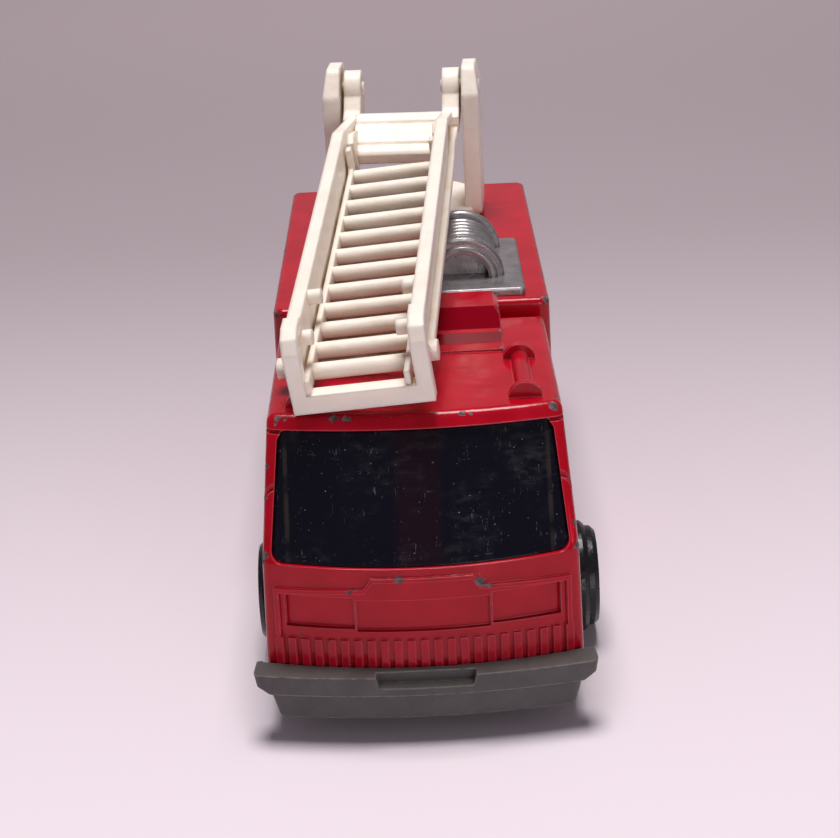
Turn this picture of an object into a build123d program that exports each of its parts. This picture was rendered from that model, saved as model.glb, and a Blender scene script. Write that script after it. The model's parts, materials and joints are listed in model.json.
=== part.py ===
"""Toy fire engine: die-cast cab and body, plastic base, hose reels, and a two-stage ladder.

Millimetres. +Z is up, the front faces -Y and +X is the engine's left-hand side as seen from
its own seat, so it is on the right of somebody who faces the windscreen. The origin is on the
ground under the middle of the bounding box. The ladder lies over the cab, turned a few
degrees on its turntable, as it does when the toy is put down.
"""
import os
from math import cos, radians, sin

from build123d import *

# ---------------------------------------------------------------- driving dimensions
length = 77.2
wall = 1.3
skin_gap = 0.08
seat_gap = 0.06

wheel_radius = 5.2
shoulder_radius = 4.7
wheel_inner_x = 11.3
tread_outer_x = 14.7
wheel_outer_x = 15.7
axle_radius = 0.68
running_gap = 0.04
front_axle_y = -19.3
rear_axle_y = 20.6
axle_float = 0.5
arch_radius = 6.3

base_low = 2.0
floor_low = 2.4
base_top = 3.6
floor_front_y = -31.6
bumper_step_z = 4.5
bumper_top_z = 6.3
bumper_bow_radius = 71.0
bumper_back_y = -34.6
bumper_top_half = 14.85
bumper_low_half = 12.9
bumper_tier_step = 0.55
notch_floor_z = 5.25
notch_depth = 1.15

cab_low = 5.3
sill_z = 15.4
cab_roof = 26.35
cab_rear_y = -5.0
body_low = 4.4
body_roof = 27.4
body_front_y = -3.7
body_rear_y = 38.0
roof_thick = 1.4

turntable_y = 27.1
turntable_radius = 8.4
turntable_low = body_roof + 0.12
turntable_top = 29.1
stem_radius = 2.15
upright_outer = 8.4
upright_inner = 6.6
upright_half_depth = 3.8
upright_shoulder = 41.5
upright_top = 44.3
upright_lean = 0.4
upright_top_half_depth = 2.0

pivot_z = 41.7
pin_radius = 0.75
pin_reach = 0.25
ear_outer = 6.25
ear_inner = 4.42
ear_radius = 2.0

ladder_yaw = 4.65
ladder_slope = 8.95
ladder_roll = 6.0
rail_outer = 6.1
rail_width = 1.25
rail_top = 0.45
rail_height = 5.33
rail_front = 51.9
rail_nose = 55.0
rail_rear = 8.2
rail_kink = 11.5
rung_pitch = 3.6
first_rung = 14.7
rung_radius = 0.75

front_post_y = -25.0
rear_post_y = 33.2
post_radius = 2.3
rivet_radius = 1.0

reel_x = 5.35
reel_radius = 4.05
reel_plate_top = body_roof + 0.77
reel_front_y = 1.0
reel_rear_y = 11.6
peg_x = 9.6
peg_y = 6.3

os.makedirs("parts", exist_ok=True)


def save(shape, label):
    """Label a finished piece and write it as one STEP file."""
    shape.label = label
    export_step(shape, f"parts/{label}.step")


# ---------------------------------------------------------------- outer skins
def bowed_outline(z, half_width, corner_y, centre_y, rear_y):
    """Plan outline at height z: straight sides and back, and a front that bows forward."""
    with BuildSketch(Plane.XY.offset(z)) as outline:
        with BuildLine():
            Polyline((half_width, corner_y), (half_width, rear_y), (-half_width, rear_y),
                     (-half_width, corner_y))
            ThreePointArc((-half_width, corner_y), (0, centre_y), (half_width, corner_y))
        make_face()
    return outline.sketch


def cab_skin(grow):
    """The cab's outer surface, moved outward by grow."""
    low = bowed_outline(cab_low - 2, 13.85 + grow, -34.6 - grow, -36.55 - grow, cab_rear_y)
    sill = bowed_outline(sill_z, 13.55 + grow, -33.6 - grow, -36.05 - grow, cab_rear_y)
    top = bowed_outline(cab_roof + grow, 12.75 + grow, -27.2 - grow, -28.5 - grow, cab_rear_y)
    with BuildPart() as skin:
        loft([low, sill], ruled=True)
        loft([sill, top], ruled=True)
    return skin.part


def body_skin(grow):
    """The rear body's outer surface, moved outward by grow."""
    with BuildPart() as skin:
        with BuildSketch(Plane.XY.offset(body_low - 3)) as low:
            Rectangle(28.0 + 2 * grow, body_rear_y - body_front_y + 2 * grow)
        with BuildSketch(Plane.XY.offset(body_roof + grow)) as top:
            Rectangle(27.0 + 2 * grow, body_rear_y - body_front_y + 2 * grow)
        loft(ruled=True)
    return skin.part.moved(Location((0, (body_front_y + body_rear_y) / 2, 0)))


# ---------------------------------------------------------------- window outlines
windscreen_top_z = 25.1
windscreen_low_z = 15.3
windscreen_top_half = 11.85
windscreen_low_half = 12.8


def windscreen_sketch(shrink):
    """Windscreen opening seen from the front."""
    with BuildSketch(Plane.XZ.offset(40)) as pane:
        with BuildLine():
            Polyline((-windscreen_low_half, windscreen_low_z), (windscreen_low_half, windscreen_low_z),
                     (windscreen_top_half, windscreen_top_z), (-windscreen_top_half, windscreen_top_z),
                     close=True)
        make_face()
        fillet(pane.vertices(), 0.9)
        if shrink:
            offset(amount=-shrink, mode=Mode.REPLACE)
    return pane.sketch


def side_window_sketch(shrink):
    """Door window, with its slanted front edge, and crew window, seen from the side."""
    with BuildSketch(Plane.YZ.offset(-20)) as panes:
        with BuildLine():
            Polyline((-29.6, 16.4), (-19.6, 16.4), (-19.6, 24.0), (-25.4, 24.0), close=True)
        make_face()
        with Locations((-13.0, 20.2)):
            Rectangle(8.6, 7.6)
        fillet(panes.vertices(), 0.8)
        if shrink:
            offset(amount=-shrink, mode=Mode.REPLACE)
    return panes.sketch


def window_prisms(shrink):
    """Solids that run through the front and side walls at each window."""
    with BuildPart() as prisms:
        extrude(windscreen_sketch(shrink), amount=-20)
        extrude(side_window_sketch(shrink), amount=40)
    return prisms.part


# ---------------------------------------------------------------- body casting
grille_ribs = 23
grille_pitch = 1.14
grille_top = 8.75
relief_height = 0.28
front_reach = 42.0


def front_relief():
    """Raised line with its central step, and the ribs of the grille, on the cab's front."""
    with BuildPart() as relief:
        with BuildSketch(Plane.XZ.offset(front_reach)):
            with BuildLine():
                Polyline((-12.75, 5.4), (-12.75, 13.2), (-5.1, 13.55), (-4.35, 14.55), (4.35, 14.55),
                         (5.1, 13.55), (12.75, 13.2), (12.75, 5.4), close=True)
            make_face()
            offset(amount=-0.38, mode=Mode.SUBTRACT)
        extrude(amount=-12)
        with BuildSketch(Plane.XZ.offset(front_reach)):
            with Locations((0, (cab_low + grille_top) / 2)):
                with GridLocations(grille_pitch, 0, grille_ribs, 1):
                    Rectangle(0.66, grille_top - cab_low)
        extrude(amount=-12)
        add(cab_skin(relief_height), mode=Mode.INTERSECT)
    return relief.part


def front_recess():
    """Shallow pockets in the cab's front: headlamps and the band between them."""
    with BuildPart() as recess:
        with BuildSketch(Plane.XZ.offset(front_reach)):
            with Locations((-8.85, 11.2), (8.85, 11.2)):
                Rectangle(5.9, 2.9)
            with Locations((0, 10.95)):
                Rectangle(11.4, 2.9)
        extrude(amount=-12)
        add(cab_skin(-0.4), mode=Mode.SUBTRACT)
    return recess.part


def side_panels():
    """Grooves in both sides: door outlines, locker shutters with their slats, and a waist line."""
    with BuildPart() as grooves:
        with BuildSketch(Plane.YZ.offset(-20)):
            for centre, width in ((-24.9, 11.6), (-12.6, 10.4)):
                with Locations((centre, 18.0)):
                    Rectangle(width, 14.4)
                    Rectangle(width - 0.6, 13.8, mode=Mode.SUBTRACT)
            for centre in (2.6, 14.6, 31.0):
                with Locations((centre, 19.4)):
                    Rectangle(10.2, 11.4)
                    Rectangle(9.5, 10.7, mode=Mode.SUBTRACT)
                    with GridLocations(0, 1.2, 1, 8):
                        Rectangle(8.9, 0.35)
        extrude(amount=40)
        add(cab_skin(-0.22), mode=Mode.SUBTRACT)
        add(body_skin(-0.22), mode=Mode.SUBTRACT)
    return grooves.part


def rear_panel():
    """Groove outline and slats of the rear shutter, and two lamp pockets."""
    with BuildPart() as grooves:
        with BuildSketch(Plane.XZ.offset(-50)):
            with Locations((0, 17.5)):
                Rectangle(17.0, 13.0)
                Rectangle(16.3, 12.3, mode=Mode.SUBTRACT)
                with GridLocations(0, 1.3, 1, 9):
                    Rectangle(15.4, 0.4)
            with Locations((-11.4, 8.2), (11.4, 8.2)):
                Rectangle(2.6, 3.6)
        extrude(amount=30)
        add(body_skin(-0.25), mode=Mode.SUBTRACT)
    return grooves.part


def roof_box():
    """Wedge-shaped housing on the cab roof, which runs back to the hose reels."""
    with BuildPart() as box:
        with BuildSketch(Plane.YZ):
            with BuildLine():
                Polyline((-14.6, cab_roof - 1), (-14.6, 26.55), (-12.9, 26.6), (-11.7, 27.2),
                         (-10.9, 27.25), (-7.5, 28.3), (-3.2, 28.3), (-3.2, cab_roof - 1), close=True)
            make_face()
        extrude(amount=8.4, both=True)
        chamfer([e for e in box.edges().filter_by(Axis.Y) if e.center().Z > 28], 0.45)
    return box.part


def beacon_bar(x):
    """Two half discs joined by a half-round bar, cast on the cab roof."""
    disc_radius = 1.5
    bar_radius = 0.8
    disc_thick = 0.7
    front_disc_y = -26.1
    rear_disc_y = -16.8
    with BuildPart() as bar:
        with BuildSketch(Plane.XZ.offset(-front_disc_y)):
            with Locations((x, cab_roof - 0.1)):
                Circle(bar_radius)
        extrude(amount=front_disc_y - rear_disc_y)
        for y in (front_disc_y, rear_disc_y):
            with BuildSketch(Plane.XZ.offset(-y)):
                with Locations((x, cab_roof - 0.1)):
                    Circle(disc_radius)
            extrude(amount=-disc_thick)
        split(bisect_by=Plane.XY.offset(cab_roof - 0.4), keep=Keep.TOP)
    return bar.part


with BuildPart() as cab_shell:
    add(cab_skin(0))
    split(bisect_by=Plane.XY.offset(cab_low), keep=Keep.TOP)
    sill = [e for e in cab_shell.edges() if abs(e.center().Z - sill_z) < 0.3 and e.center().Y < -33]
    fillet(sill, 1.2)
    fillet([e for e in cab_shell.edges() if e.length > 6 and abs(e.center().X) > 12.2
            and abs(e.tangent_at(0.5).Z) > 0.6 and e.center().Y < -25], 0.8)
    fillet(cab_shell.edges().group_by(Axis.Z)[-1], 0.9)

with BuildPart() as rear_shell:
    add(body_skin(0))
    split(bisect_by=Plane.XY.offset(body_low), keep=Keep.TOP)
    fillet(rear_shell.edges().filter_by(lambda e: abs(e.tangent_at(0.5).Z) > 0.6), 1.0)
    fillet(rear_shell.edges().group_by(Axis.Z)[-1], 0.6)

with BuildPart() as body:
    add(cab_shell.part)
    add(rear_shell.part)
    with BuildSketch(Plane.XY.offset(cab_low)):
        with Locations((0, (cab_rear_y + body_front_y) / 2)):
            Rectangle(24.8, 4.4)
    extrude(amount=25.3 - cab_low)
    add(roof_box())
    add(beacon_bar(-9.7))
    add(beacon_bar(9.7))
    add(front_relief())
    add(front_recess(), mode=Mode.SUBTRACT)
    add(side_panels(), mode=Mode.SUBTRACT)
    add(rear_panel(), mode=Mode.SUBTRACT)
    # hollow underside: one cavity under the cab, one under the body
    add(cab_skin(-wall), mode=Mode.SUBTRACT)
    add(body_skin(-roof_thick), mode=Mode.SUBTRACT)
    with BuildSketch(Plane.XY.offset(base_low)):
        with Locations((0, -3.5)):
            Rectangle(22.4, 6.0)
    extrude(amount=24.0 - base_low, mode=Mode.SUBTRACT)
    add(window_prisms(0), mode=Mode.SUBTRACT)
    # posts that the base is riveted to
    for y, roof in ((front_post_y, cab_roof), (rear_post_y, body_roof)):
        with BuildSketch(Plane.XY.offset(base_top)):
            with Locations((0, y)):
                Circle(post_radius)
        extrude(amount=roof - 0.5 - base_top)
    with BuildSketch(Plane.XY.offset(base_top)):
        with Locations((0, front_post_y), (0, rear_post_y)):
            Circle(rivet_radius)
    extrude(amount=6.5, mode=Mode.SUBTRACT)
    # wheel arches, turntable hole and the insert's peg holes
    with BuildSketch(Plane.YZ.offset(-20)):
        with Locations((front_axle_y, wheel_radius), (rear_axle_y, wheel_radius)):
            Circle(arch_radius)
    extrude(amount=9.2, mode=Mode.SUBTRACT)
    with BuildSketch(Plane.YZ.offset(20)):
        with Locations((front_axle_y, wheel_radius), (rear_axle_y, wheel_radius)):
            Circle(arch_radius)
    extrude(amount=-9.2, mode=Mode.SUBTRACT)
    with BuildSketch(Plane.XY.offset(body_roof - 3)):
        with Locations((0, turntable_y)):
            Circle(stem_radius + running_gap)
        with Locations((-peg_x, peg_y), (peg_x, peg_y)):
            Circle(1.2 + running_gap)
    extrude(amount=6, mode=Mode.SUBTRACT)

save(body.part, "body_casting")

# ---------------------------------------------------------------- glazing
pane_recess = 0.35
glass_thick = 0.9

with BuildPart() as panes:
    add(window_prisms(skin_gap))
    add(cab_skin(-pane_recess), mode=Mode.INTERSECT)
    add(cab_skin(-wall - skin_gap - glass_thick), mode=Mode.SUBTRACT)

with BuildPart() as glazing:
    add(cab_skin(-wall - skin_gap))
    add(cab_skin(-wall - skin_gap - glass_thick), mode=Mode.SUBTRACT)
    with BuildSketch(Plane.XY.offset(14.6)):
        with Locations((0, -24.5)):
            Rectangle(40, 33)
    extrude(amount=20, mode=Mode.INTERSECT)
    add(panes.part)
    with BuildSketch(Plane.XY.offset(10)):
        with Locations((0, front_post_y)):
            Circle(post_radius + 0.2)
    extrude(amount=20, mode=Mode.SUBTRACT)
save(glazing.part, "glazing")


# ---------------------------------------------------------------- base plate with bumper
def bumper_outline(z, half_width, front_y):
    """Bumper's plan at height z: a shallow arc in front, rounded corners, and a narrower root."""
    bow = half_width ** 2 / (2 * bumper_bow_radius)
    root = half_width - 1.3
    root_rear = floor_front_y + 0.6
    with BuildSketch(Plane.XY.offset(z)) as outline:
        with BuildLine():
            Polyline((half_width, front_y + bow), (half_width - 0.2, bumper_back_y),
                     (root, bumper_back_y + 0.2), (root, root_rear),
                     (-root, root_rear), (-root, bumper_back_y + 0.2),
                     (-half_width + 0.2, bumper_back_y), (-half_width, front_y + bow))
            ThreePointArc((-half_width, front_y + bow), (0, front_y), (half_width, front_y + bow))
        make_face()
        fillet(outline.vertices().group_by(Axis.Y)[0], 0.7)
    return outline.sketch


front_end = -length / 2
rear_end = length / 2
saddle_x = 8.2
strip_low = wheel_radius + axle_radius + 0.06

# the room that the casting's lower edge and its raised ribs take up inside the bumper
with BuildPart() as tuck:
    add(cab_skin(relief_height + skin_gap))
    split(bisect_by=Plane.XY.offset(cab_low - seat_gap), keep=Keep.TOP)

with BuildPart() as base:
    loft([bumper_outline(base_low, bumper_low_half, front_end + bumper_tier_step + 0.2),
          bumper_outline(bumper_step_z, bumper_low_half + 0.65, front_end + bumper_tier_step)],
         ruled=True)
    loft([bumper_outline(bumper_step_z, bumper_top_half - 1.0, front_end + 0.06),
          bumper_outline(bumper_step_z + 0.6, bumper_top_half - 0.2, front_end + 0.02),
          bumper_outline(bumper_top_z, bumper_top_half, front_end)],
         ruled=True)
    # number-plate notch in the upper tier
    with BuildSketch(Plane.XZ.offset(front_reach)):
        with BuildLine():
            Polyline((-4.0, notch_floor_z), (4.0, notch_floor_z), (4.5, bumper_top_z + 0.7),
                     (-4.5, bumper_top_z + 0.7), close=True)
        make_face()
    extrude(amount=-(front_reach + front_end + notch_depth), mode=Mode.SUBTRACT)
    add(tuck.part, mode=Mode.SUBTRACT)
    # floor, full width between the wheels' cut-outs
    with BuildSketch(Plane.XY.offset(floor_low)):
        with Locations((0, (rear_end + floor_front_y) / 2)):
            Rectangle(20.6, rear_end - floor_front_y)
        for low, high in ((floor_front_y, -25.8), (-12.8, 14.1), (27.1, rear_end)):
            with Locations((0, (low + high) / 2)):
                Rectangle(27.2, high - low)
    extrude(amount=base_top - floor_low)
    # sills that close the gap up to the casting's lower edge
    cab_sill = cab_low - seat_gap
    body_sill = body_low - seat_gap
    for low, high, top in ((floor_front_y, -25.8, cab_sill), (-12.8, cab_rear_y - 0.2, cab_sill),
                           (body_front_y + 0.3, 14.1, body_sill), (27.1, rear_end, body_sill)):
        with BuildSketch(Plane.XY.offset(floor_low)):
            for x in (-12.95, 12.95):
                with Locations((x, (low + high) / 2)):
                    Rectangle(1.3, high - low)
        extrude(amount=top - floor_low)
    with BuildSketch(Plane.XY.offset(floor_low)):
        with Locations((0, rear_end - 0.65)):
            Rectangle(27.2, 1.3)
    extrude(amount=body_sill - floor_low)
    # chassis rails, cross members, tank and sump, proud of the floor
    with BuildSketch(Plane.XY.offset(base_low)):
        with Locations((-4.4, 1.5), (4.4, 1.5)):
            Rectangle(1.3, 64.0)
        with Locations((0, -13.5), (0, -3.0), (0, 11.0), (0, 28.5)):
            Rectangle(8.8, 1.1)
        with Locations((9.0, -4.6), (-9.0, 1.4)):
            RectangleRounded(6.2, 9.0, 0.8)
        with Locations((0, -19.3)):
            RectangleRounded(5.0, 6.4, 1.0)
    extrude(amount=floor_low - base_low)
    # hollow behind the bumper
    with BuildSketch(Plane.XY.offset(base_low)):
        with Locations((0, -34.6)):
            RectangleRounded(20.0, 3.0, 0.6)
    extrude(amount=2.4, mode=Mode.SUBTRACT)
    # saddles under the axles
    for y in (front_axle_y, rear_axle_y):
        with BuildSketch(Plane.XY.offset(base_top)):
            with Locations((-saddle_x, y), (saddle_x, y)):
                Rectangle(2.8, 3.4)
        extrude(amount=wheel_radius - base_top)
        with BuildSketch(Plane.YZ.offset(-12)):
            with Locations((y, wheel_radius)):
                Circle(axle_radius + running_gap)
        extrude(amount=24, mode=Mode.SUBTRACT)
    # collars round the posts, and the rivets' holes
    for y in (front_post_y, rear_post_y):
        with BuildSketch(Plane.XY.offset(base_top)):
            with Locations((0, y)):
                Circle(post_radius + 1.0)
                Circle(post_radius + 0.1, mode=Mode.SUBTRACT)
        extrude(amount=strip_low - base_top)
        with BuildSketch(Plane.XY.offset(base_low - 1)):
            with Locations((0, y)):
                Circle(2.1)
        extrude(amount=floor_low + 0.5 - base_low + 1, mode=Mode.SUBTRACT)
        with BuildSketch(Plane.XY.offset(base_low)):
            with Locations((0, y)):
                Circle(rivet_radius + 0.03)
        extrude(amount=4, mode=Mode.SUBTRACT)
save(base.part, "base_plate")

# ---------------------------------------------------------------- axle strip, axles, rivets
strip_thick = 0.8
with BuildPart() as strip:
    with BuildSketch(Plane.XY.offset(strip_low)):
        with Locations((0, (front_post_y + rear_post_y) / 2)):
            SlotCenterToCenter(rear_post_y - front_post_y, 6.2, rotation=90)
        for y in (front_axle_y, rear_axle_y):
            with Locations((0, y)):
                RectangleRounded(2 * saddle_x + 2.8, 4.0, 0.8)
        with Locations((0, front_post_y), (0, rear_post_y)):
            Circle(post_radius + 0.1, mode=Mode.SUBTRACT)
    extrude(amount=strip_thick)
    with BuildSketch(Plane.XY.offset(strip_low + strip_thick)):
        for x in (-2.6, 2.6):
            with Locations((x, 0.6)):
                Rectangle(0.7, 42.0)
    extrude(amount=0.7)
save(strip.part, "axle_strip")


def axle(y, shift):
    """Steel axle with a head beyond each wheel's hub."""
    head_x = 14.6
    with BuildPart() as rod:
        with BuildSketch(Plane.YZ.offset(shift - head_x)):
            with Locations((y, wheel_radius)):
                Circle(axle_radius)
        extrude(amount=2 * head_x)
        for side in (-1, 1):
            with BuildSketch(Plane.YZ.offset(shift + side * head_x)):
                with Locations((y, wheel_radius)):
                    Circle(1.05)
            extrude(amount=side * 0.45)
        fillet(rod.edges().group_by(Axis.X)[0] + rod.edges().group_by(Axis.X)[-1], 0.2)
    return rod.part


save(axle(front_axle_y, axle_float), "front_axle")
save(axle(rear_axle_y, -axle_float), "rear_axle")


def wheel(side, y, shift):
    """Road wheel: wide tread, narrower shoulder ring, dished face with six ribs, hollow back."""
    hub_face = 14.5
    dish_face = 14.7
    with BuildPart() as rim:
        with BuildSketch(Plane.XZ):
            with BuildLine():
                Polyline((wheel_inner_x, axle_radius + running_gap), (wheel_inner_x, 1.7),
                         (13.0, 1.9), (13.0, 4.1), (wheel_inner_x, 4.4),
                         (wheel_inner_x, wheel_radius - 0.25),
                         (wheel_inner_x + 0.25, wheel_radius), (tread_outer_x - 0.35, wheel_radius),
                         (tread_outer_x, wheel_radius - 0.3), (tread_outer_x + 0.05, shoulder_radius),
                         (wheel_outer_x - 0.4, shoulder_radius - 0.05),
                         (wheel_outer_x, shoulder_radius - 0.4),
                         (wheel_outer_x, 3.75), (dish_face, 3.3), (dish_face, 1.9), (15.2, 1.7),
                         (15.2, 1.3), (hub_face, 1.25),
                         (hub_face, axle_radius + running_gap), close=True)
            make_face()
        revolve(axis=Axis.X)
        with BuildSketch(Plane.YZ.offset(dish_face - 0.2)):
            with PolarLocations(2.6, 6):
                Rectangle(1.9, 0.75)
        extrude(amount=0.75)
    placed = rim.part if side > 0 else rim.part.mirror(Plane.YZ)
    return placed.moved(Location((shift, y, wheel_radius)))


save(wheel(1, front_axle_y, axle_float), "wheel_front_left")
save(wheel(-1, front_axle_y, axle_float), "wheel_front_right")
save(wheel(1, rear_axle_y, -axle_float), "wheel_rear_left")
save(wheel(-1, rear_axle_y, -axle_float), "wheel_rear_right")


def body_rivet(y):
    """Rivet that closes the base plate onto a post of the casting."""
    with BuildPart() as rivet:
        with BuildSketch(Plane.XY.offset(floor_low)):
            with Locations((0, y)):
                Circle(1.95)
        extrude(amount=0.5)
        fillet(rivet.edges().group_by(Axis.Z)[0], 0.3)
        with BuildSketch(Plane.XY.offset(floor_low + 0.5)):
            with Locations((0, y)):
                Circle(rivet_radius)
        extrude(amount=6.0)
        with BuildSketch(Plane.XY.offset(floor_low - 0.1)):
            with Locations((0, y)):
                Circle(0.55)
        extrude(amount=1.0, mode=Mode.SUBTRACT)
    return rivet.part


save(body_rivet(front_post_y), "front_rivet")
save(body_rivet(rear_post_y), "rear_rivet")

# ---------------------------------------------------------------- hose reel insert
plate_front_y = -2.4
plate_rear_y = 14.0
ridge_count = 7

with BuildPart() as reels:
    with BuildSketch(Plane.XY.offset(body_roof + 0.02)):
        with Locations((0, (plate_front_y + plate_rear_y) / 2)):
            RectangleRounded(22.5, plate_rear_y - plate_front_y, 0.5)
    extrude(amount=reel_plate_top - body_roof - 0.02)
    chamfer(reels.edges().group_by(Axis.Z)[-1], 0.2)
    for x in (-reel_x, reel_x):
        # drum with the wound hose as ridges, between a cup-shaped front flange and a flat rear one
        with BuildSketch(Plane.YZ.offset(x)) as profile:
            with BuildLine():
                Polyline((reel_front_y + 0.1, reel_plate_top),
                         (reel_front_y + 0.1, reel_plate_top + 2.6),
                         (reel_front_y, reel_plate_top + 2.75), (reel_front_y, reel_plate_top + 3.05),
                         (reel_front_y + 0.15, reel_plate_top + 3.25),
                         (reel_front_y + 0.55, reel_plate_top + 3.35),
                         (reel_front_y + 0.55, reel_plate_top + reel_radius - 0.25),
                         (reel_front_y + 0.8, reel_plate_top + reel_radius),
                         (reel_front_y + 1.6, reel_plate_top + reel_radius),
                         (reel_front_y + 2.0, reel_plate_top + reel_radius - 0.4),
                         (reel_front_y + 2.0, reel_plate_top + 3.0),
                         (reel_rear_y - 0.9, reel_plate_top + 3.0),
                         (reel_rear_y - 0.9, reel_plate_top + reel_radius - 0.15),
                         (reel_rear_y - 0.7, reel_plate_top + reel_radius),
                         (reel_rear_y - 0.2, reel_plate_top + reel_radius),
                         (reel_rear_y, reel_plate_top + reel_radius - 0.2),
                         (reel_rear_y, reel_plate_top), close=True)
            make_face()
            for turn_number in range(ridge_count):
                pitch = (reel_rear_y - 0.9 - reel_front_y - 2.0) / ridge_count
                with Locations((reel_front_y + 2.0 + (turn_number + 0.5) * pitch, reel_plate_top + 3.0)):
                    Circle(pitch / 2 - 0.02)
        revolve(axis=Axis((x, 0, reel_plate_top), (0, 1, 0)))
    # keep the upper halves only, and hollow the front cups
    with BuildSketch(Plane.XY.offset(body_roof + 0.02)):
        with Locations((0, 5)):
            Rectangle(40, 40)
    extrude(amount=20, mode=Mode.INTERSECT)
    for x in (-reel_x, reel_x):
        with BuildSketch(Plane.XZ.offset(-reel_front_y + 0.5)):
            with BuildLine():
                Line((x - 2.5, reel_plate_top), (x + 2.5, reel_plate_top))
                ThreePointArc((x + 2.5, reel_plate_top), (x, reel_plate_top + 2.5),
                              (x - 2.5, reel_plate_top))
            make_face()
        extrude(amount=-2.2, mode=Mode.SUBTRACT)
    with BuildSketch(Plane.XY.offset(body_roof - 2.4)):
        with Locations((-peg_x, peg_y), (peg_x, peg_y)):
            Circle(1.2)
    extrude(amount=2.6)
save(reels.part, "hose_reel_insert")

# ---------------------------------------------------------------- turntable
turn = Plane(origin=(0, turntable_y, 0), x_dir=(cos(radians(ladder_yaw)), -sin(radians(ladder_yaw)), 0),
             z_dir=(0, 0, 1))


def side_plane(frame, x):
    """Plane of a side view: its x runs to the frame's rear, its y up, its normal across."""
    return Plane(origin=frame.from_local_coords((x, 0, 0)), x_dir=frame.y_dir, z_dir=frame.x_dir)


stem_low = 25.75
with BuildPart() as turntable:
    with BuildSketch(Plane.XY.offset(turntable_low)):
        with Locations((0, turntable_y)):
            Circle(turntable_radius)
    extrude(amount=turntable_top - turntable_low)
    fillet(turntable.edges().group_by(Axis.Z)[0], 0.5)
    fillet(turntable.edges().group_by(Axis.Z)[-1], 0.3)
    for x, reach in ((upright_inner, 1), (-upright_inner, -1)):
        with BuildSketch(side_plane(turn, x)) as upright:
            with BuildLine():
                Polyline((-upright_half_depth, turntable_low + 0.6),
                         (-upright_half_depth, upright_shoulder),
                         (-upright_top_half_depth, upright_top), (upright_top_half_depth, upright_top),
                         (upright_half_depth, upright_shoulder),
                         (upright_half_depth, turntable_low + 0.6),
                         close=True)
            make_face()
            fillet(upright.vertices().group_by(Axis.Z)[-1], 1.0)
            fillet(upright.vertices().filter_by(lambda v: abs(v.Z - upright_shoulder) < 0.01), 0.7)
        extrude(amount=reach * (upright_outer - upright_inner))
    # above the shoulders the uprights' outer faces lean inward
    with BuildSketch(Plane(origin=turn.from_local_coords((0, -6, 0)), x_dir=turn.x_dir,
                           z_dir=turn.y_dir * -1)):
        for reach in (-1, 1):
            with BuildLine():
                Polyline((reach * upright_outer, upright_shoulder),
                         (reach * (upright_outer + 1), upright_shoulder),
                         (reach * (upright_outer + 1), upright_top + 1),
                         (reach * (upright_outer - upright_lean), upright_top + 1),
                         (reach * (upright_outer - upright_lean), upright_top), close=True)
            make_face()
    extrude(amount=-12, mode=Mode.SUBTRACT)
    with BuildSketch(Plane.XY.offset(stem_low)):
        with Locations((0, turntable_y)):
            Circle(stem_radius)
    extrude(amount=turntable_low - stem_low + 0.3)
    with BuildSketch(Plane.XY.offset(stem_low)):
        with Locations((0, turntable_y)):
            Circle(0.95)
    extrude(amount=2.6, mode=Mode.SUBTRACT)
    with BuildSketch(side_plane(turn, -12)):
        with Locations((0, pivot_z)):
            Circle(pin_radius)
    extrude(amount=24, mode=Mode.SUBTRACT)
save(turntable.part, "turntable")

with BuildPart() as washer:
    with BuildSketch(Plane.XY.offset(stem_low - 0.5)):
        with Locations((0, turntable_y)):
            Circle(3.4)
            Circle(1.0, mode=Mode.SUBTRACT)
    extrude(amount=0.5)
save(washer.part, "turntable_washer")

with BuildPart() as stem_rivet:
    with BuildSketch(Plane.XY.offset(stem_low - 1.2)):
        with Locations((0, turntable_y)):
            Circle(1.9)
    extrude(amount=0.7)
    fillet(stem_rivet.edges().group_by(Axis.Z)[0], 0.35)
    with BuildSketch(Plane.XY.offset(stem_low - 0.5)):
        with Locations((0, turntable_y)):
            Circle(0.95)
    extrude(amount=3.0)
save(stem_rivet.part, "turntable_rivet")


def pivot_pin(side):
    """Pin pressed through an upright, on which the ladder's ear turns."""
    with BuildPart() as pin:
        with BuildSketch(side_plane(turn, side * (ear_inner - pin_reach))):
            with Locations((0, pivot_z)):
                Circle(pin_radius)
        extrude(amount=side * (upright_outer - ear_inner + pin_reach))
        fillet(pin.edges().filter_by(GeomType.CIRCLE), 0.15)
    return pin.part


save(pivot_pin(1), "left_pivot_pin")
save(pivot_pin(-1), "right_pivot_pin")

# ---------------------------------------------------------------- ladder frames
back = Vector(sin(radians(ladder_yaw)) * cos(radians(ladder_slope)),
              cos(radians(ladder_yaw)) * cos(radians(ladder_slope)), sin(radians(ladder_slope)))
across = Vector(cos(radians(ladder_yaw)), -sin(radians(ladder_yaw)), 0)
up = across.cross(back)
pivot = Vector(0, turntable_y, pivot_z)
rail_low = rail_top - rail_height
rolled_across = across * cos(radians(ladder_roll)) + up * sin(radians(ladder_roll))


def ear_plane(x):
    """Side view in the ears' frame: x forward along the ladder, y up, origin on the pivot."""
    return Plane(origin=pivot + across * x, x_dir=back * -1, z_dir=across * -1)


def rail_plane(x):
    """Side view in the rails' frame, twisted about the ladder's length: y from the rails' bottom."""
    origin = pivot + up * rail_low + rolled_across * x
    return Plane(origin=origin, x_dir=back * -1, z_dir=rolled_across * -1)


def rail_profile(inset, reach):
    """Side outline of a rail, full height from the kink to the nose, whose lower corner slants."""
    with BuildSketch(rail_plane(0)) as outline:
        with BuildLine():
            Polyline((rail_rear - reach, waist_top - inset), (rail_kink, rail_height - inset),
                     (rail_nose + reach, rail_height - inset), (rail_nose + reach, 3.1 + inset),
                     (rail_front, inset), (rail_kink, inset), (rail_rear - reach, waist_low + inset),
                     close=True)
        make_face()
    return outline.sketch


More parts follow.
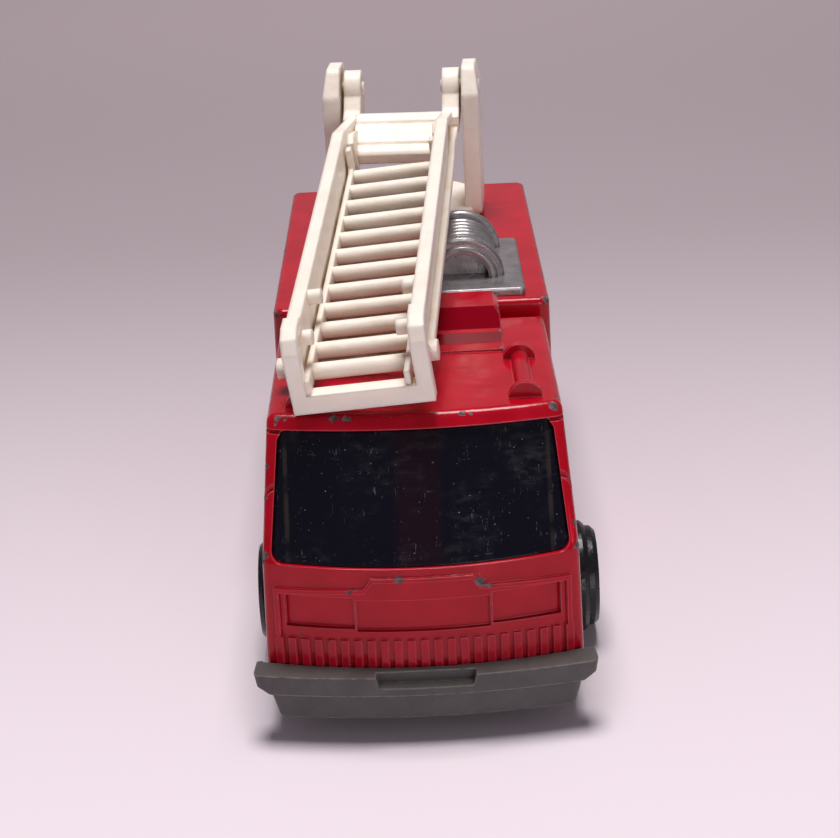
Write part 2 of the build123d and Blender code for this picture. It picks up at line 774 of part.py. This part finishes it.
def strip_section(u, x_dir, side, inner, outer, low, top):
    """Cross-section of one leg of the rail at distance u from the pivot."""
    origin = pivot + up * rail_low - back * u
    with BuildSketch(Plane(origin=origin, x_dir=x_dir, z_dir=back * -1)) as section:
        with Locations((side * (inner + outer) / 2, (low + top) / 2)):
            Rectangle(outer - inner, top - low)
    return section.sketch


def on_plane(sketch, plane_from, plane_to):
    """The same sketch, carried from one parallel plane to another."""
    return sketch.moved(Location(plane_to.origin - plane_from.origin))


flange_thick = 0.75
web_thick = 0.6
rail_inner = rail_outer - rail_width
waist_top = 4.4
waist_low = 0.5
neck_u = 3.6
neck_top = 3.4
neck_low = 1.5
neck_inner = ear_inner + 0.03
cheek_inner = 4.2
peg_radius = 0.68
peg_height = 4.5
peg_places = (53.7, 46.3)
peg_reach = 1.2
lower_rungs = 11
pads = ((-1, 7.9, 0.2), (1, 6.5, 0.4))

with BuildPart() as lower:
    for side in (-1, 1):
        # ear
        with BuildSketch(ear_plane(side * ear_inner)):
            Circle(ear_radius)
            with BuildLine():
                Polyline((-ear_radius, 0), (ear_radius, 0), (3.3, -1.2), (4.6, -1.75), (4.6, -3.4),
                         (-0.6, -3.4), (-1.9, -2.2), close=True)
            make_face()
        extrude(amount=-side * (ear_outer - ear_inner))
        # top flange, web and bottom flange that widen and twist from the ear to the rail
        for ear_x, rail_x, ear_h, rail_h in (
                ((neck_inner, 5.5), (rail_inner, rail_outer), (neck_top - flange_thick, neck_top),
                 (waist_top - flange_thick, waist_top)),
                ((neck_inner, 5.02), (rail_inner, rail_inner + web_thick), (neck_low, neck_top),
                 (waist_low, waist_top)),
                ((neck_inner, 6.2), (rail_inner, rail_outer), (neck_low, neck_low + flange_thick),
                 (waist_low, waist_low + flange_thick))):
            loft([strip_section(neck_u, across, side, *ear_x, *ear_h),
                  strip_section(rail_rear, rolled_across, side, *rail_x, *rail_h)], ruled=True)
        # channel rail, open to the outside
        extrude(on_plane(rail_profile(0, 0), rail_plane(0), rail_plane(side * rail_inner)),
                amount=-side * rail_width)
        extrude(on_plane(rail_profile(flange_thick, 0.01), rail_plane(0),
                         rail_plane(side * (rail_inner + web_thick))),
                amount=-side * rail_width, mode=Mode.SUBTRACT)
        # thicker cheek beside the plate
        with BuildSketch(rail_plane(side * cheek_inner)):
            with BuildLine():
                Polyline((4.2, 2.5), (9.4, 4.1), (10.9, 3.6), (10.9, 0.3), (9.0, 0.3),
                         (4.2, 1.5), close=True)
            make_face()
        extrude(amount=-side * (rail_inner - cheek_inner + 0.2))
        # pegs that hold the extension down
        with BuildSketch(rail_plane(side * (rail_inner + 0.2))):
            for u in peg_places:
                with Locations((u, peg_height)):
                    Circle(peg_radius)
        extrude(amount=side * (peg_reach + 0.2))
    # rounded pads at the front ends of the bottom flanges, one wider than the other
    for side, reach, height in pads:
        with BuildSketch(rail_plane(side * (rail_inner + web_thick))):
            with Locations((rail_front - 0.9, height)):
                RectangleRounded(2.0, 1.7, 0.8)
        extrude(amount=-side * (reach - rail_inner - web_thick))
    # sloping plate between the ears, with two shallow grooves
    with BuildSketch(ear_plane(0)):
        with BuildLine():
            Polyline((4.4, -1.1), (5.5, -1.56), (5.62, -1.8), (5.85, -1.72), (8.3, -2.75), (8.42, -3.0),
                     (8.65, -2.9), (9.5, -3.3), (9.8, -3.6), (9.8, -4.6), (8.6, -4.6), (4.2, -2.3),
                     close=True)
        make_face()
    extrude(amount=4.8, both=True)
    # rungs of the lower section: flat bars under the extension
    with BuildSketch(rail_plane(0)):
        for k in range(lower_rungs):
            with Locations((first_rung + k * rung_pitch, 0.3)):
                Rectangle(1.2, 0.5)
    extrude(amount=rail_inner + 0.1, both=True)
    with BuildSketch(ear_plane(-12)):
        Circle(pin_radius + running_gap)
    extrude(amount=-24, mode=Mode.SUBTRACT)
save(lower.part, "ladder_lower")

# ---------------------------------------------------------------- extension
slide_rail_outer = 4.6
slide_rail_thick = 0.5
slide_rail_low = 0.7
slide_rail_top = 2.15
stop_top = 4.3
rung_height = 1.42
extension_rungs = 12
frame_front = 57.5
frame_thick = 1.4
frame_low = -0.9
frame_bar_top = 0.85
frame_top = 6.6
frame_offset = 0.28
frame_outer = 6.15
post_width = 1.4
arm_back = 53.3

with BuildPart() as extension:
    for side in (-1, 1):
        # slide rail with an upright stop at its rear end, and a foot that joins the end frame
        with BuildSketch(rail_plane(side * (slide_rail_outer - slide_rail_thick))):
            with BuildLine():
                Polyline((first_rung - 1.5, slide_rail_low), (first_rung - 1.5, stop_top),
                         (first_rung - 0.4, stop_top), (first_rung - 0.1, 2.5),
                         (first_rung + 0.6, slide_rail_top),
                         (frame_front - 0.2, slide_rail_top), (frame_front - 0.2, frame_low + 0.3),
                         (frame_front - frame_thick, frame_low + 0.3),
                         (frame_front - frame_thick, slide_rail_low),
                         close=True)
            make_face()
        extrude(amount=-side * slide_rail_thick)
        # post of the end frame, with a short arm that points back along the lower rail's top
        with BuildSketch(rail_plane(frame_offset + side * (frame_outer - post_width))):
            with BuildLine():
                Polyline((frame_front - frame_thick, frame_low),
                         (frame_front - frame_thick, rail_height + 0.1),
                         (arm_back, rail_height + 0.1), (arm_back, frame_top - 0.4),
                         (arm_back + 0.4, frame_top),
                         (frame_front - 2.0, frame_top), (frame_front - 0.7, frame_top - 0.5),
                         (frame_front, frame_top - 1.7), (frame_front, frame_low), close=True)
            make_face()
        extrude(amount=-side * post_width)
    with BuildSketch(rail_plane(frame_offset)):
        with Locations((frame_front - frame_thick / 2, (frame_low + frame_bar_top) / 2)):
            Rectangle(frame_thick, frame_bar_top - frame_low)
    extrude(amount=frame_outer - 0.2, both=True)
    with BuildSketch(rail_plane(0)):
        for k in range(extension_rungs):
            with Locations((first_rung + k * rung_pitch, rung_height)):
                Circle(rung_radius)
    extrude(amount=slide_rail_outer - 0.2, both=True)
save(extension.part, "ladder_extension")
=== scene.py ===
"""Looks of the toy fire engine: worn gloss enamel, moulded plastics, smoked glazing, and the set."""
import json
from math import cos, radians, sin

import bpy
from mathutils import Matrix, Vector


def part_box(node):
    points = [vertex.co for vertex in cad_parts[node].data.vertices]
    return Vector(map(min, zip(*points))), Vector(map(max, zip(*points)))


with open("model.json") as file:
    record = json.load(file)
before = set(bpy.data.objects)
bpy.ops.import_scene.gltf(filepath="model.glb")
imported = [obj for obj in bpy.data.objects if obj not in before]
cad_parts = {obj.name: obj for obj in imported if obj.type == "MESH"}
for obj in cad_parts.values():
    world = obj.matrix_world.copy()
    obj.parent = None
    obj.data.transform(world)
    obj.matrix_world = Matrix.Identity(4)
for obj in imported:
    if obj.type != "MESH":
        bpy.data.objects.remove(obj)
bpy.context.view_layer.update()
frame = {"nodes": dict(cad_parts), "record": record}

MM = 0.001

# in millimetres, in the CAD's frame
PANE_HALF_WIDTH = 12.4
POST_INNER, POST_OUTER = 1.4, 2.4
ROOF_Z = 26.2
HOUSING_FOOT_Z = 26.4
HOUSING_FRONT_Y, HOUSING_BACK_Y = -14.8, -6.6


# ---------------------------------------------------------------- node trees
class Recipe:
    """A material under construction, with short calls for the nodes that the recipes share."""

    def __init__(self, name):
        self.material = bpy.data.materials.new(name)
        self.material.use_nodes = True
        self.tree = self.material.node_tree
        self.shader = self.tree.nodes["Principled BSDF"]
        position = self.tree.nodes.new("ShaderNodeTexCoord").outputs["Object"]
        self.place = self.vector("MULTIPLY", position, (1 / MM, 1 / MM, 1 / MM))

    def link(self, value, socket):
        """Connect an output, or set a plain value."""
        if isinstance(value, bpy.types.NodeSocket):
            self.tree.links.new(value, socket)
        else:
            socket.default_value = value

    def vector(self, operation, a, b):
        """Vector maths; DISTANCE and DOT_PRODUCT give a number."""
        node = self.tree.nodes.new("ShaderNodeVectorMath")
        node.operation = operation
        self.link(a, node.inputs[0])
        self.link(b, node.inputs[1])
        number = operation in ("DISTANCE", "DOT_PRODUCT")
        return node.outputs["Value" if number else "Vector"]

    def maths(self, operation, a, b=0.0, clamp=True):
        """Maths on two numbers, clamped to 0..1 unless told otherwise."""
        node = self.tree.nodes.new("ShaderNodeMath")
        node.operation = operation
        node.use_clamp = clamp
        self.link(a, node.inputs[0])
        self.link(b, node.inputs[1])
        return node.outputs[0]

    def noise(self, scale, detail=3.0, stretch=(1, 1, 1), rough=0.5):
        """Noise with that many features per millimetre, stretched along the axes."""
        node = self.tree.nodes.new("ShaderNodeTexNoise")
        self.link(self.vector("MULTIPLY", self.place, stretch), node.inputs["Vector"])
        node.inputs["Scale"].default_value = scale
        node.inputs["Detail"].default_value = detail
        node.inputs["Roughness"].default_value = rough
        return node.outputs["Fac"]

    def step(self, value, low, high, start=0.0, end=1.0):
        """A smooth step of value from low to high."""
        node = self.tree.nodes.new("ShaderNodeMapRange")
        node.interpolation_type = "SMOOTHSTEP"
        self.link(value, node.inputs["Value"])
        for name, number in (("From Min", low), ("From Max", high), ("To Min", start), ("To Max", end)):
            node.inputs[name].default_value = number
        return node.outputs["Result"]

    def mix(self, share, a, b):
        """Blend two colours."""
        node = self.tree.nodes.new("ShaderNodeMix")
        node.data_type = "RGBA"
        self.link(share, node.inputs["Factor"])
        self.link(a, node.inputs["A"])
        self.link(b, node.inputs["B"])
        return node.outputs["Result"]

    def axis(self, name):
        """One coordinate of the surface point, in millimetres."""
        node = self.tree.nodes.new("ShaderNodeSeparateXYZ")
        self.link(self.place, node.inputs[0])
        return node.outputs[name]

    def soft_edges(self, radius):
        """Normal that is rounded at edges, over a radius in millimetres."""
        node = self.tree.nodes.new("ShaderNodeBevel")
        node.samples = 6
        node.inputs["Radius"].default_value = radius * MM
        return node.outputs["Normal"]

    def edge_mask(self, radius):
        """1 close to an edge and 0 on flat stretches."""
        rounded = self.soft_edges(radius)
        true_normal = self.tree.nodes.new("ShaderNodeNewGeometry").outputs["Normal"]
        return self.step(self.vector("DOT_PRODUCT", rounded, true_normal), 0.995, 0.93)

    def hollows(self, distance):
        """1 deep in corners and gaps, 0 in the open."""
        node = self.tree.nodes.new("ShaderNodeAmbientOcclusion")
        node.samples = 6
        node.inputs["Distance"].default_value = distance * MM
        return self.maths("SUBTRACT", 1.0, node.outputs["AO"])

    def spots(self, places, ragged):
        """Mask of ragged round spots at (x, y, z, radius), in millimetres."""
        wobble = self.tree.nodes.new("ShaderNodeTexNoise")
        self.link(self.place, wobble.inputs["Vector"])
        wobble.inputs["Scale"].default_value = 1.6
        wobble.inputs["Detail"].default_value = 4.0
        shift = self.vector("SUBTRACT", wobble.outputs["Color"], (0.5, 0.5, 0.5))
        spread = (ragged, ragged, ragged)
        moved = self.vector("ADD", self.place, self.vector("MULTIPLY", shift, spread))
        mask = 0.0
        for x, y, z, radius in places:
            away = self.vector("DISTANCE", moved, (x, y, z))
            mask = self.maths("MAXIMUM", mask, self.step(away, radius, radius * 0.8))
        return mask

    def finish(self, color, roughness, bump=None, bump_depth=0.0, edge=0.0, **sockets):
        """Connect the colour, roughness, bump and soft edges, and set the plain sockets."""
        self.link(color, self.shader.inputs["Base Color"])
        self.link(roughness, self.shader.inputs["Roughness"])
        normal = self.soft_edges(edge) if edge else None
        if bump is not None:
            node = self.tree.nodes.new("ShaderNodeBump")
            node.inputs["Distance"].default_value = bump_depth * MM
            node.inputs["Strength"].default_value = 1.0
            self.link(bump, node.inputs["Height"])
            if normal is not None:
                self.link(normal, node.inputs["Normal"])
            normal = node.outputs["Normal"]
        if normal is not None:
            self.link(normal, self.shader.inputs["Normal"])
        for name, value in sockets.items():
            self.link(value, self.shader.inputs[name.replace("_", " ")])
        return self.material


# ---------------------------------------------------------------- materials
def worn_places():
    """Chips in the enamel, placed on the casting's corners: (x, y, z, radius) in millimetres."""
    low, high = (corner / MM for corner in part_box("body_casting"))
    front_y = low.y + 8.1
    bow = 0.006
    body_side_x, body_edge_z = 13.4, 27.3

    windscreen_header = (
        (-11.9, 0.6), (-11.2, 0.35), (-6.9, 0.5), (-5.9, 0.42), (-2.0, 0.2),
        (4.2, 0.42), (4.9, 0.34), (9.0, 0.22), (12.0, 0.65))
    places = [(x, front_y + bow * x * x, ROOF_Z, 0.85 * r) for x, r in windscreen_header]

    cab_corners = (
        (-1, 13.1, -29.5, 22.6, 0.4), (-1, 13.2, -31.0, 20.2, 0.3), (-1, 13.4, -33.2, 15.6, 0.5),
        (1, 13.3, -32.6, 17.3, 0.36), (1, 13.45, -33.4, 15.5, 0.5), (1, 13.5, -33.6, 14.7, 0.3),
        (1, 12.5, -26.0, 26.2, 0.34), (1, 12.9, -15.0, 26.0, 0.3), (-1, 12.9, -12.0, 26.0, 0.4))
    places += [(side * x, y, z, r) for side, x, y, z, r in cab_corners]

    front_panel = (
        (-1.9, -36.3, 14.5, 0.42), (5.0, -36.1, 13.9, 0.55), (5.6, -36.0, 13.4, 0.3),
        (-6.3, -36.1, 13.4, 0.3), (9.4, -35.6, 11.0, 0.3), (-10.8, -35.3, 9.2, 0.3))
    roof_housing = (
        (8.4, -3.6, 28.0, 0.6), (8.3, -11.6, 27.3, 0.4), (8.2, -14.2, 26.6, 0.35),
        (-8.4, -6.0, 28.0, 0.4))
    places += [*front_panel, *roof_housing]

    body_sides = (
        (1, -3.4, 0.75), (1, 4.5, 0.4), (1, 13.0, 0.3), (1, 37.4, 0.7),
        (-1, -3.4, 0.6), (-1, 16.0, 0.4), (-1, 37.2, 0.7), (1, 27.0, 0.3))
    places += [(side * body_side_x, y, body_edge_z, r) for side, y, r in body_sides]

    rear_edge = ((-8.0, 0.4), (1.5, 0.5), (9.2, 0.35))
    places += [(x, high.y - 0.2, 27.2, r) for x, r in rear_edge]
    return places


def red_enamel():
    """Gloss enamel over zinc, chipped on edges, with a painted highlight along edges, painted shade in
    hollows, and painted shade with less gloss on the slopes of the roof housing.
    """
    m = Recipe("worn_red_enamel")
    patchy = m.noise(0.35, 4.0)
    red = m.mix(m.step(patchy, 0.3, 0.75), (0.36, 0.002, 0.011, 1), (0.43, 0.0035, 0.017, 1))
    facing = m.tree.nodes.new("ShaderNodeSeparateXYZ")
    m.link(m.tree.nodes.new("ShaderNodeNewGeometry").outputs["Normal"], facing.inputs[0])
    above_roof = m.step(m.axis("Z"), HOUSING_FOOT_Z, HOUSING_FOOT_Z + 0.2)
    behind_front = m.step(m.axis("Y"), HOUSING_FRONT_Y, HOUSING_FRONT_Y + 0.6)
    housing = m.maths("MULTIPLY", above_roof, behind_front)
    housing = m.maths("MULTIPLY", housing, m.step(m.axis("Y"), HOUSING_BACK_Y, HOUSING_BACK_Y - 0.6))
    # painted shade: the forward-facing slopes of the roof housing get a darker red here and, further down,
    # less gloss
    painted_slope_shade = m.maths("MULTIPLY", housing, m.step(facing.outputs["Z"], 0.985, 0.965))
    red = m.mix(painted_slope_shade, red, (0.17, 0.0012, 0.007, 1))
    # painted shade: hollows are darkened, patchily, towards a deep red
    painted_hollow_shade = m.maths("MULTIPLY", m.step(m.hollows(0.9), 0.35, 0.9), m.step(m.noise(1.2), 0.3, 0.7))
    red = m.mix(m.maths("MULTIPLY", painted_hollow_shade, 0.75), red, (0.09, 0.004, 0.006, 1))
    # painted highlight: a lighter red along the edges, so that raised lines read as lit
    edges = m.edge_mask(0.17)
    red = m.mix(m.maths("MULTIPLY", edges, 0.55), red, (0.70, 0.09, 0.12, 1))
    rubbed = m.maths("MULTIPLY", m.edge_mask(0.22), m.step(m.noise(0.8, 6.0, rough=0.7), 0.6, 0.66))
    chips = m.maths("MAXIMUM", m.spots(worn_places(), 1.1), rubbed)
    flecks = m.step(m.noise(2.6, 2.0), 0.775, 0.79)
    chips = m.maths("MAXIMUM", chips, flecks)
    mottle = m.step(m.noise(2.4, 4.0), 0.38, 0.62)
    zinc = m.mix(mottle, (0.06, 0.042, 0.046, 1), (0.155, 0.125, 0.13, 1))
    color = m.mix(chips, red, zinc)
    hairlines = m.step(m.noise(1.5, 6.0, stretch=(0.2, 3.5, 1.0), rough=0.75), 0.58, 0.72)
    polish = m.step(m.noise(0.5, 5.0), 0.3, 0.8, 0.12, 0.22)
    roughness = m.maths("ADD", polish, m.maths("MULTIPLY", hairlines, 0.10))
    roughness = m.maths("MAXIMUM", roughness, m.maths("MULTIPLY", chips, 0.55))
    waves = m.maths("MULTIPLY", m.noise(0.45, 1.0), 0.55)
    relief = m.maths("SUBTRACT", m.maths("ADD", waves, 0.3), m.maths("MULTIPLY", chips, 0.25))
    gloss = m.step(painted_slope_shade, 0.0, 1.0, 0.26, 0.02)
    return m.finish(color, roughness, relief, 0.09, edge=0.14, Specular_IOR_Level=gloss)


def grey_base():
    """Dark grey plastic with rubbed, lighter edges and painted shade darkening its hollows."""
    m = Recipe("grey_base_plastic")
    cloud = m.noise(0.45, 4.0, rough=0.55)
    grey = m.mix(m.step(cloud, 0.3, 0.75), (0.066, 0.060, 0.060, 1), (0.084, 0.077, 0.075, 1))
    rubbed = m.maths("MULTIPLY", m.edge_mask(0.19), m.step(m.noise(1.1, 5.0), 0.28, 0.58))
    grey = m.mix(m.maths("MULTIPLY", rubbed, 0.75), grey, (0.30, 0.265, 0.235, 1))
    # painted shade: hollows are darkened towards near black
    painted_crevice_shade = m.step(m.hollows(1.6), 0.25, 0.7)
    grey = m.mix(m.maths("MULTIPLY", painted_crevice_shade, 0.7), grey, (0.025, 0.022, 0.02, 1))
    roughness = m.step(m.noise(2.0, 4.0), 0.3, 0.7, 0.42, 0.60)
    return m.finish(grey, roughness, m.noise(2.5, 3.0), 0.02, edge=0.22, Specular_IOR_Level=0.4)


def smoked_plastic():
    """Smoked, almost black plastic: smears, hairline scratches, faint rims and a dim red post."""
    m = Recipe("smoked_glazing")
    across = m.axis("X")
    from_left = m.step(across, -POST_OUTER, -POST_INNER)
    post = m.maths("MULTIPLY", from_left, m.step(across, POST_OUTER, POST_INNER))
    smoke, dim_red = (0.0025, 0.0028, 0.0075, 1), (0.014, 0.003, 0.0065, 1)
    tint = m.mix(m.maths("MULTIPLY", post, 0.55), smoke, dim_red)
    haze = m.step(m.noise(0.22, 6.0, rough=0.6), 0.46, 0.78)
    smear = m.maths("MULTIPLY", haze, m.step(m.noise(1.3, 4.0, stretch=(0.5, 1, 1.6)), 0.38, 0.75))
    tint = m.mix(m.maths("MULTIPLY", smear, 0.55), tint, (0.055, 0.055, 0.06, 1))
    fine = m.step(m.noise(1.1, 8.0, stretch=(0.35, 1.0, 4.0), rough=0.8), 0.63, 0.66)
    cross = m.step(m.noise(1.0, 8.0, stretch=(3.5, 1.0, 0.5), rough=0.8), 0.60, 0.64)
    lines = m.maths("MULTIPLY", m.maths("MAXIMUM", fine, cross), m.step(m.noise(0.4), 0.45, 0.62))
    specks = m.step(m.noise(4.5, 2.0), 0.735, 0.76)
    marks = m.maths("MAXIMUM", m.maths("MULTIPLY", lines, 0.5), m.maths("MULTIPLY", specks, 0.8))
    tint = m.mix(marks, tint, (0.22, 0.22, 0.23, 1))
    side = m.maths("ABSOLUTE", m.maths("MULTIPLY", across, 1.0 / PANE_HALF_WIDTH, clamp=False))
    rim = m.maths("MULTIPLY", m.step(side, 0.89, 0.905), m.step(side, 0.935, 0.92))
    rim = m.maths("MULTIPLY", rim, m.step(m.noise(0.5), 0.35, 0.65))
    tint = m.mix(rim, tint, (0.026, 0.020, 0.019, 1))
    roughness = m.maths("ADD", m.step(smear, 0.0, 1.0, 0.10, 0.34), m.maths("MULTIPLY", marks, 0.2))
    return m.finish(tint, roughness, m.noise(0.12, 1.0), 0.25, edge=0.12, Specular_IOR_Level=0.36)


def silver_plastic():
    """Vacuum-plated silver plastic, dulled, with painted shade darkening its hollows, which gives the dark
    lines in the wound hose.
    """
    m = Recipe("silver_plated_plastic")
    worn = m.step(m.noise(0.7, 5.0, rough=0.6), 0.35, 0.75)
    silver = m.mix(worn, (0.34, 0.325, 0.335, 1), (0.22, 0.21, 0.215, 1))
    # painted shade: hollows, such as the grooves of the wound hose, are darkened
    painted_crevice_shade = m.step(m.hollows(0.8), 0.25, 0.85)
    silver = m.mix(m.maths("MULTIPLY", painted_crevice_shade, 0.72), silver, (0.06, 0.052, 0.05, 1))
    roughness = m.step(m.noise(1.4, 4.0), 0.3, 0.75, 0.26, 0.46)
    return m.finish(silver, roughness, m.noise(2.0, 4.0), 0.03, edge=0.12, Metallic=0.72)


def white_plastic():
    """Ivory plastic with faint moulding marks, small nicks, and yellow-brown soiling in its channels; the
    deepest gaps turn dark brown, as soiling and painted shade together.
    """
    m = Recipe("ivory_plastic")
    cloud = m.step(m.noise(0.25, 4.0), 0.3, 0.75)
    ivory = m.mix(cloud, (0.86, 0.79, 0.71, 1), (0.80, 0.72, 0.63, 1))
    closed = m.hollows(2.2)
    patch = m.step(m.noise(0.30, 4.0, rough=0.6), 0.40, 0.68)
    patchy = m.maths("ADD", 0.35, m.maths("MULTIPLY", patch, 0.65))
    yellow = m.maths("MULTIPLY", m.step(closed, 0.25, 0.72), patchy)
    color = m.mix(m.maths("MULTIPLY", yellow, 0.8), ivory, (0.60, 0.42, 0.19, 1))
    # soiling and painted shade together: the deepest gaps go dark brown
    brown = m.maths("MULTIPLY", m.step(closed, 0.72, 0.98), patch)
    color = m.mix(m.maths("MULTIPLY", brown, 0.6), color, (0.20, 0.10, 0.035, 1))
    nicks = m.maths("MULTIPLY", m.edge_mask(0.16), m.step(m.noise(1.7, 5.0), 0.60, 0.68))
    color = m.mix(m.maths("MULTIPLY", nicks, 0.35), color, (0.42, 0.34, 0.27, 1))
    roughness = m.step(m.noise(1.2, 4.0), 0.3, 0.7, 0.30, 0.46)
    height = m.maths("ADD", m.maths("MULTIPLY", m.noise(1.1, 3.0), 0.7), m.maths("MULTIPLY", nicks, -0.4))
    return m.finish(color, roughness, height, 0.10, edge=0.42, Subsurface_Weight=0.30,
                    Subsurface_Radius=(0.8, 0.6, 0.45), Subsurface_Scale=2.2 * MM, Specular_IOR_Level=0.28)


def black_wheel():
    """Gloss black plastic, scuffed on the tread and dusty in the dish."""
    m = Recipe("black_wheel_plastic")
    dust = m.maths("MULTIPLY", m.step(m.hollows(1.0), 0.2, 0.8), m.step(m.noise(0.8, 5.0), 0.35, 0.7))
    black = m.mix(m.maths("MULTIPLY", dust, 0.5), (0.008, 0.008, 0.010, 1), (0.035, 0.032, 0.032, 1))
    scuffs = m.step(m.noise(1.6, 6.0, stretch=(3.0, 1.0, 1.0), rough=0.7), 0.56, 0.7)
    black = m.mix(m.maths("MULTIPLY", scuffs, 0.25), black, (0.03, 0.029, 0.03, 1))
    polish = m.step(m.noise(1.0, 4.0), 0.3, 0.7, 0.2, 0.34)
    roughness = m.maths("ADD", polish, m.maths("MULTIPLY", scuffs, 0.08))
    return m.finish(black, roughness, m.noise(2.5, 4.0), 0.04, edge=0.15, Specular_IOR_Level=0.3)


def steel():
    """Bright steel with turned marks and a little tarnish."""
    m = Recipe("bright_steel")
    tarnish = m.step(m.noise(1.3, 5.0), 0.4, 0.75)
    grey = m.mix(tarnish, (0.56, 0.55, 0.54, 1), (0.30, 0.27, 0.24, 1))
    roughness = m.step(m.noise(2.5, 5.0, stretch=(4.0, 1.0, 1.0)), 0.3, 0.7, 0.22, 0.42)
    return m.finish(grey, roughness, m.noise(3.0, 3.0), 0.02, edge=0.08, Metallic=1.0)


def dark_plastic():
    """Plain black moulded plastic for the hidden strip."""
    m = Recipe("black_strip_plastic")
    black = m.mix(m.noise(0.8, 4.0), (0.02, 0.02, 0.02, 1), (0.045, 0.043, 0.04, 1))
    return m.finish(black, m.step(m.noise(2.0), 0.3, 0.7, 0.4, 0.55), m.noise(3.0), 0.04, edge=0.12)


# ---------------------------------------------------------------- set
def floor_material():
    """Pale paper with painted shade and light: it darkens behind the toy and lightens again further back.
    """
    m = Recipe("pale_paper")
    # painted shade and light: the floor colour is graded along Y
    near = m.step(m.axis("Y"), -80.0, 120.0)
    far = m.step(m.axis("Y"), 150.0, 420.0)
    paper = m.mix(near, (0.78, 0.70, 0.77, 1), (0.35, 0.295, 0.325, 1))
    paper = m.mix(far, paper, (0.58, 0.49, 0.52, 1))
    return m.finish(paper, 0.9, m.noise(0.5, 5.0), 0.02, Specular_IOR_Level=0.2)


def build_floor():
    """One large plane at the height on which the wheels stand."""
    reach = 3.0
    mesh = bpy.data.meshes.new("floor")
    corners = [(-reach, -reach, 0), (reach, -reach, 0), (reach, reach, 0), (-reach, reach, 0)]
    mesh.from_pydata(corners, [], [(0, 1, 2, 3)])
    floor = bpy.data.objects.new("floor", mesh)
    bpy.context.scene.collection.objects.link(floor)
    mesh.materials.append(floor_material())


def area_light(name, place, target, size, power, color):
    """Square softbox that looks at a point; lengths in metres."""
    data = bpy.data.lights.new(name, "AREA")
    data.size = size
    data.energy = power
    data.color = color
    lamp = bpy.data.objects.new(name, data)
    lamp.location = place
    lamp.rotation_euler = (Vector(target) - Vector(place)).to_track_quat("-Z", "Y").to_euler()
    bpy.context.scene.collection.objects.link(lamp)


def build_lights():
    """Overhead softbox and a weak front fill, aimed at the middle of the toy."""
    centre = (0, 0, 0.02)
    area_light("overhead", (0.0, 0.05, 0.50), centre, 0.20, 2.8, (1.0, 0.97, 0.95))
    area_light("low_fill", (0.16, -0.50, 0.08), centre, 0.22, 0.75, (1.0, 0.95, 0.95))


def build_surroundings():
    """Dim surroundings, lighter in the direction behind the toy."""
    world = bpy.data.worlds.new("surroundings")
    world.use_nodes = True
    tree = world.node_tree
    background = tree.nodes["Background"]
    direction = tree.nodes.new("ShaderNodeTexCoord").outputs["Generated"]
    split = tree.nodes.new("ShaderNodeSeparateXYZ")
    tree.links.new(direction, split.inputs[0])
    turn = tree.nodes.new("ShaderNodeMapRange")
    turn.interpolation_type = "SMOOTHSTEP"
    tree.links.new(split.outputs["Y"], turn.inputs["Value"])
    for name, number in (("From Min", 0.55), ("From Max", 0.90), ("To Min", 0.0), ("To Max", 1.0)):
        turn.inputs[name].default_value = number
    blend = tree.nodes.new("ShaderNodeMix")
    blend.data_type = "RGBA"
    tree.links.new(turn.outputs["Result"], blend.inputs["Factor"])
    blend.inputs["A"].default_value = (0.17, 0.15, 0.17, 1)
    blend.inputs["B"].default_value = (0.40, 0.335, 0.365, 1)
    tree.links.new(blend.outputs["Result"], background.inputs["Color"])
    background.inputs["Strength"].default_value = 0.8
    bpy.context.scene.world = world


def build_camera():
    """Camera in front of the cab and above it, a little rolled."""
    pitch, yaw, roll = radians(22.93), radians(-0.37), radians(2.83)
    forward = Vector((sin(yaw) * cos(pitch), cos(yaw) * cos(pitch), -sin(pitch)))
    right = Vector((cos(yaw), -sin(yaw), 0))
    above = right.cross(forward)
    camera_x = right * cos(roll) - above * sin(roll)
    camera_y = right * sin(roll) + above * cos(roll)
    rotation = Matrix((camera_x, camera_y, -forward)).transposed()
    data = bpy.data.cameras.new("camera")
    data.lens = 81.42
    data.sensor_width = 36.0
    data.clip_start = 0.005
    camera = bpy.data.objects.new("camera", data)
    place = Matrix.Translation((1.446 * MM, -178.27 * MM, 89.16 * MM))
    camera.matrix_world = place @ rotation.to_4x4()
    bpy.context.scene.collection.objects.link(camera)
    bpy.context.scene.camera = camera


# ---------------------------------------------------------------- assembly
finishes = {
    "red_enamel": red_enamel(),
    "grey_base": grey_base(),
    "smoked_plastic": smoked_plastic(),
    "silver_plastic": silver_plastic(),
    "white_plastic": white_plastic(),
    "black_wheel": black_wheel(),
    "steel": steel(),
    "dark_plastic": dark_plastic(),
}
for subpart in frame["record"]["subparts"]:
    for holder in frame["nodes"][subpart["node"]].material_slots:
        holder.material = finishes[subpart["material_slot"]]

bpy.context.scene.view_settings.view_transform = "Standard"
build_camera()
build_floor()
build_lights()
build_surroundings()
